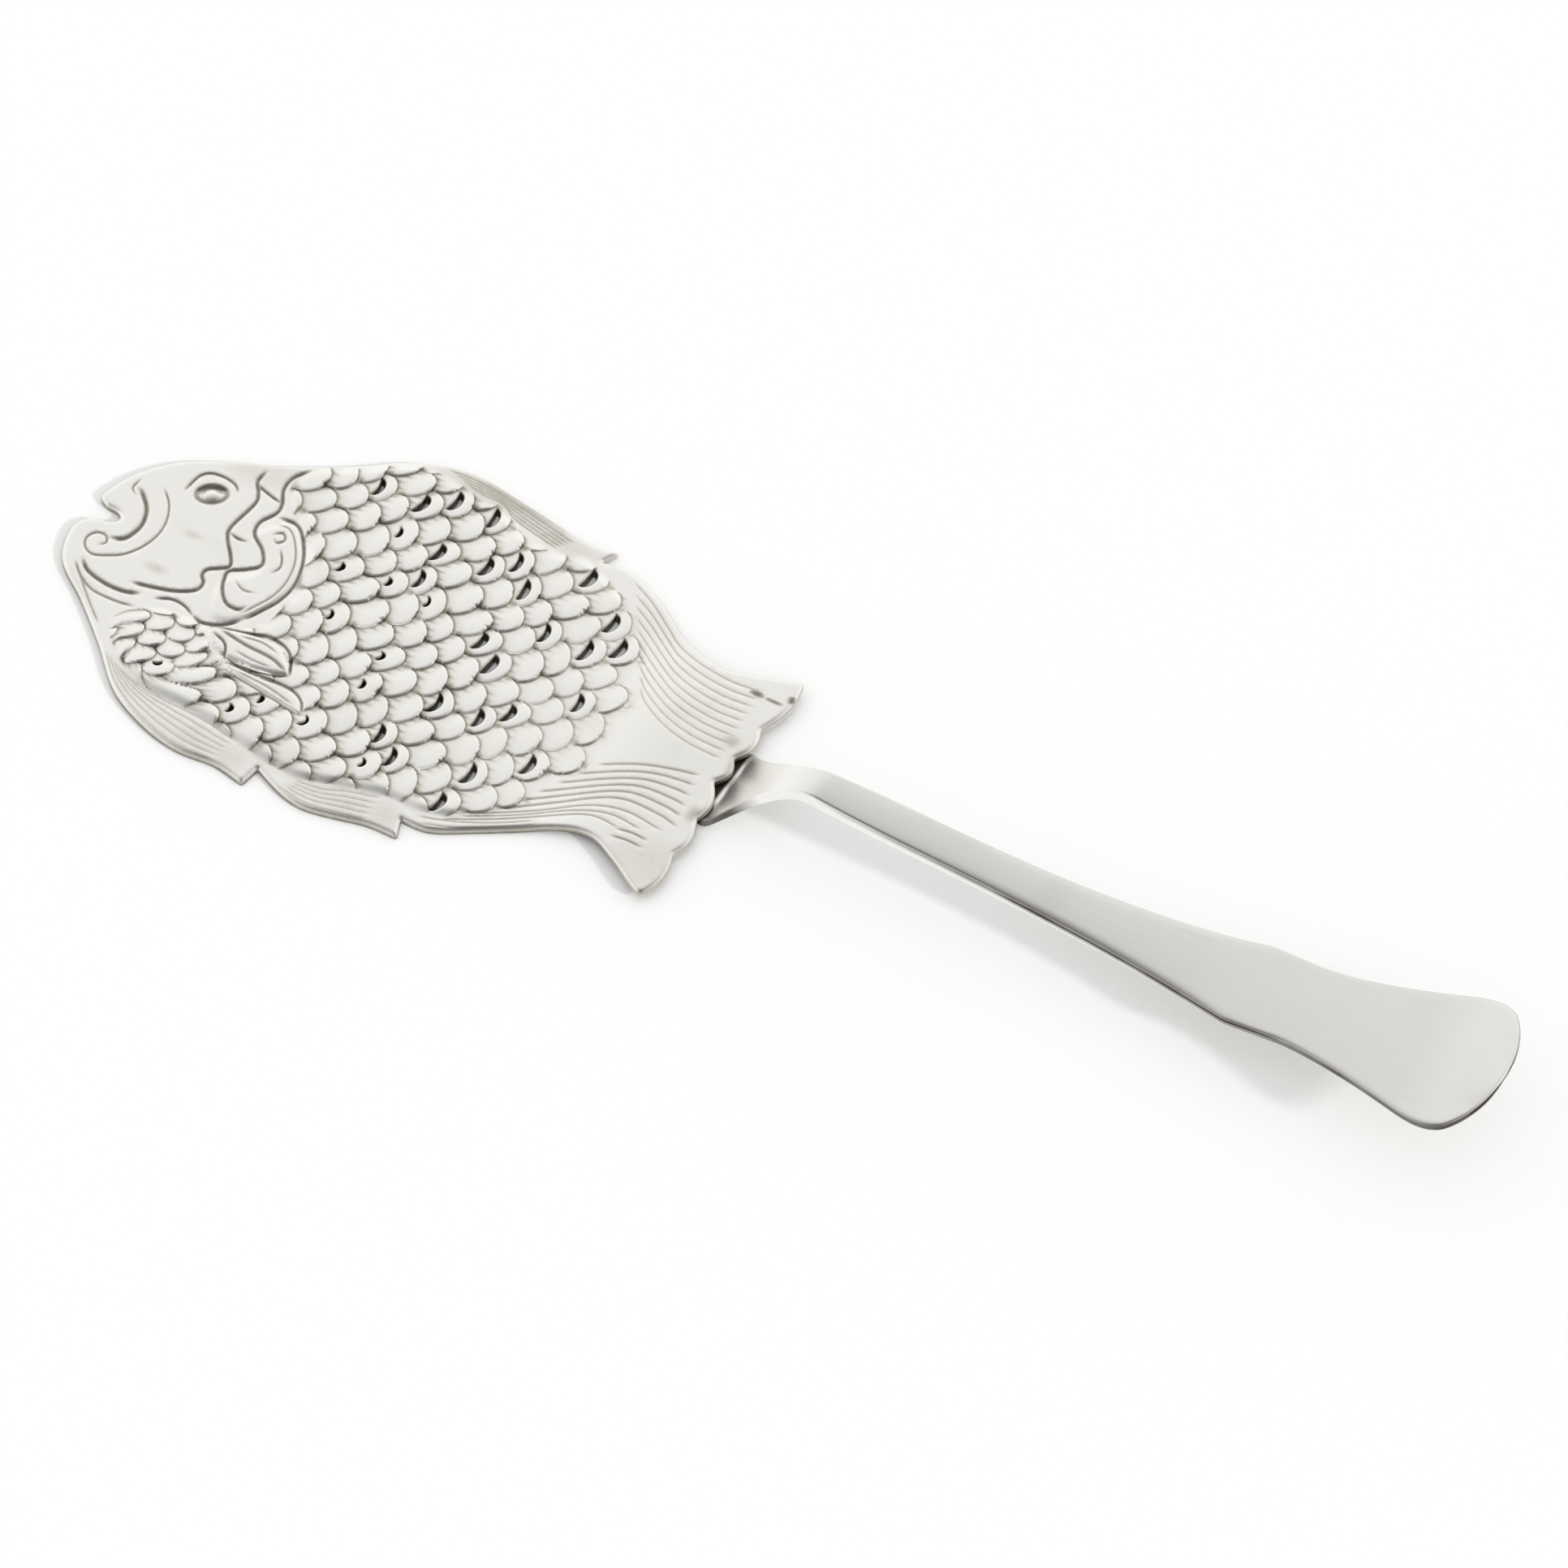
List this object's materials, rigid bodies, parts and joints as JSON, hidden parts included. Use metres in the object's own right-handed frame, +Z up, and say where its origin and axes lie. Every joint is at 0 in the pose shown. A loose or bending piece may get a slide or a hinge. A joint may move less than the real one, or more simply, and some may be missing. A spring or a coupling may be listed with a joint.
{
  "type": "fish server",
  "caption": "Silver fish server: a flat blade sawn as a fish, with chased and pierced scales, on a raised handle that widens to a rounded end and is soldered under the tail.",
  "frame": {"origin": "on the table under the middle of the server's outline, with the blade lying flat", "axes": "+X from the fish's nose to the end of the handle, +Y towards the fish's back, +Z up from the table"},
  "size_m": [0.3038, 0.0884, 0.016],
  "materials": {
    "chased_silver": "soft satin silver, darker in the chased lines and between the scales",
    "polished_silver": "polished silver with a faint grey haze from use",
    "dull_solder": "tarnished silver solder, nearly black"
  },
  "bodies": {
    "root": {"fish_blade": "chased_silver", "handle": "polished_silver", "solder_seam": "dull_solder"}
  },
  "joints": []
}
